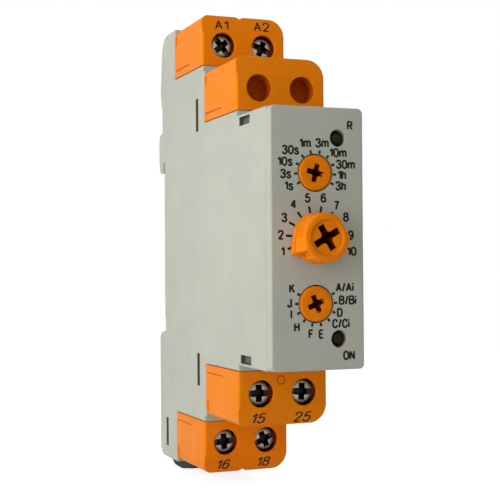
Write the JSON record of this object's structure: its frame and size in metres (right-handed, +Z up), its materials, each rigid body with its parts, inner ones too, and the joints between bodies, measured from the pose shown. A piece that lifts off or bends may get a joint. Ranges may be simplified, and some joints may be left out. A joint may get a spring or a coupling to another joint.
{
  "type": "din rail timer",
  "caption": "Narrow rail-mounted timer relay: grey stepped housing, orange terminal caps with clamp screws, nose with time knob and dials, hook and sprung latch behind.",
  "frame": {"origin": "centre of the rail seat, the flat floor of the channel at the back that rests on the rail", "axes": "+Z up as mounted on a horizontal rail, -Y out of the front of the nose, +Y towards the rail and wall, +X to the right seen from the front"},
  "size_m": [0.0176, 0.0685, 0.0927],
  "materials": {
    "housing_grey": "fine moulded texture",
    "panel_grey": "fine moulded texture",
    "cap_orange": "satin moulded",
    "nickel_steel": "nickel plated",
    "zinc_steel": "zinc plated",
    "tinned_copper": "tinned",
    "latch_black": "fine moulded texture",
    "spring_steel": "drawn wire",
    "component_black": "moulded",
    "circuit_board": "solder resist",
    "relay_case": "moulded",
    "capacitor_sleeve": "shrink sleeve",
    "capacitor_box": "moulded box",
    "surge_coating": "dipped",
    "lens_green": "tinted lens, unlit",
    "lens_red": "tinted lens, unlit"
  },
  "bodies": {
    "housing": {"board_link": "component_black", "contact_bar_15": "tinned_copper", "contact_bar_16": "tinned_copper", "contact_bar_18": "tinned_copper", "contact_bar_25": "tinned_copper", "contact_bar_A1": "tinned_copper", "contact_bar_A2": "tinned_copper", "controller_chip": "component_black", "dropper_capacitor": "capacitor_box", "front_board": "circuit_board", "front_panel": "panel_grey", "function_switch": "component_black", "housing_body": "housing_grey", "latch_spring": "spring_steel", "main_board": "circuit_board", "output_relay": "relay_case", "range_switch": "component_black", "side_cover": "housing_grey", "smoothing_capacitor": "capacitor_sleeve", "status_led_lower": "lens_red", "status_led_upper": "lens_green", "surge_disc": "surge_coating", "terminal_cap_lower_front": "cap_orange", "terminal_cap_lower_rear": "cap_orange", "terminal_cap_upper_front": "cap_orange", "terminal_cap_upper_rear": "cap_orange", "time_potentiometer": "component_black"},
    "range_dial": {"range_dial": "cap_orange"},
    "function_dial": {"function_dial": "cap_orange"},
    "time_knob": {"time_knob": "cap_orange"},
    "rail_latch": {"rail_latch": "latch_black"},
    "screw_A1": {"terminal_screw_A1": "nickel_steel"},
    "cage_A1": {"clamp_cage_A1": "zinc_steel"},
    "screw_A2": {"terminal_screw_A2": "nickel_steel"},
    "cage_A2": {"clamp_cage_A2": "zinc_steel"},
    "screw_15": {"terminal_screw_15": "nickel_steel"},
    "cage_15": {"clamp_cage_15": "zinc_steel"},
    "screw_25": {"terminal_screw_25": "nickel_steel"},
    "cage_25": {"clamp_cage_25": "zinc_steel"},
    "screw_16": {"terminal_screw_16": "nickel_steel"},
    "cage_16": {"clamp_cage_16": "zinc_steel"},
    "screw_18": {"terminal_screw_18": "nickel_steel"},
    "cage_18": {"clamp_cage_18": "zinc_steel"}
  },
  "joints": [
    {"name": "range_dial_turn", "type": "hinge", "parent": "housing", "child": "range_dial", "pos_m": [-0.0004, -0.06, 0.01115], "axis": [0, 1, 0], "range_deg": [-133.33, 106.67]},
    {"name": "function_dial_turn", "type": "hinge", "parent": "housing", "child": "function_dial", "pos_m": [-0.0004, -0.06, -0.01115], "axis": [0, 1, 0], "range_deg": [-186.67, 53.33]},
    {"name": "time_knob_turn", "type": "hinge", "parent": "housing", "child": "time_knob", "pos_m": [-0.0004, -0.06, 0], "axis": [0, 1, 0], "range_deg": [0, 240]},
    {"name": "rail_latch_slide", "type": "slide", "parent": "housing", "child": "rail_latch", "axis": [0, 0, -1], "range_m": [0, 0.004], "stiffness_N_per_m": 800, "springref_m": -0.004, "deforming": ["latch_spring"]},
    {"name": "screw_A1_turn", "type": "hinge", "parent": "housing", "child": "screw_A1", "pos_m": [-0.00425, -0.0256, 0.0391], "axis": [0, 1, 0], "range_deg": [0, 1800]},
    {"name": "cage_A1_lift", "type": "slide", "parent": "housing", "child": "cage_A1", "axis": [0, -1, 0], "range_m": [0, 0.0025]},
    {"name": "screw_A2_turn", "type": "hinge", "parent": "housing", "child": "screw_A2", "pos_m": [0.00425, -0.0256, 0.0391], "axis": [0, 1, 0], "range_deg": [0, 1800]},
    {"name": "cage_A2_lift", "type": "slide", "parent": "housing", "child": "cage_A2", "axis": [0, -1, 0], "range_m": [0, 0.0025]},
    {"name": "screw_15_turn", "type": "hinge", "parent": "housing", "child": "screw_15", "pos_m": [-0.00425, -0.0444, -0.0278], "axis": [0, 1, 0], "range_deg": [0, 1800]},
    {"name": "cage_15_lift", "type": "slide", "parent": "housing", "child": "cage_15", "axis": [0, -1, 0], "range_m": [0, 0.0025]},
    {"name": "screw_25_turn", "type": "hinge", "parent": "housing", "child": "screw_25", "pos_m": [0.00425, -0.0444, -0.0278], "axis": [0, 1, 0], "range_deg": [0, 1800]},
    {"name": "cage_25_lift", "type": "slide", "parent": "housing", "child": "cage_25", "axis": [0, -1, 0], "range_m": [0, 0.0025]},
    {"name": "screw_16_turn", "type": "hinge", "parent": "housing", "child": "screw_16", "pos_m": [-0.00425, -0.0256, -0.0391], "axis": [0, 1, 0], "range_deg": [0, 1800]},
    {"name": "cage_16_lift", "type": "slide", "parent": "housing", "child": "cage_16", "axis": [0, -1, 0], "range_m": [0, 0.0025]},
    {"name": "screw_18_turn", "type": "hinge", "parent": "housing", "child": "screw_18", "pos_m": [0.00425, -0.0256, -0.0391], "axis": [0, 1, 0], "range_deg": [0, 1800]},
    {"name": "cage_18_lift", "type": "slide", "parent": "housing", "child": "cage_18", "axis": [0, -1, 0], "range_m": [0, 0.0025]}
  ],
  "couplings": [
    {"joint": "screw_A1_turn", "follows": "cage_A1_lift", "rad_per_m": 12566},
    {"joint": "screw_A2_turn", "follows": "cage_A2_lift", "rad_per_m": 12566},
    {"joint": "screw_15_turn", "follows": "cage_15_lift", "rad_per_m": 12566},
    {"joint": "screw_25_turn", "follows": "cage_25_lift", "rad_per_m": 12566},
    {"joint": "screw_16_turn", "follows": "cage_16_lift", "rad_per_m": 12566},
    {"joint": "screw_18_turn", "follows": "cage_18_lift", "rad_per_m": 12566}
  ]
}
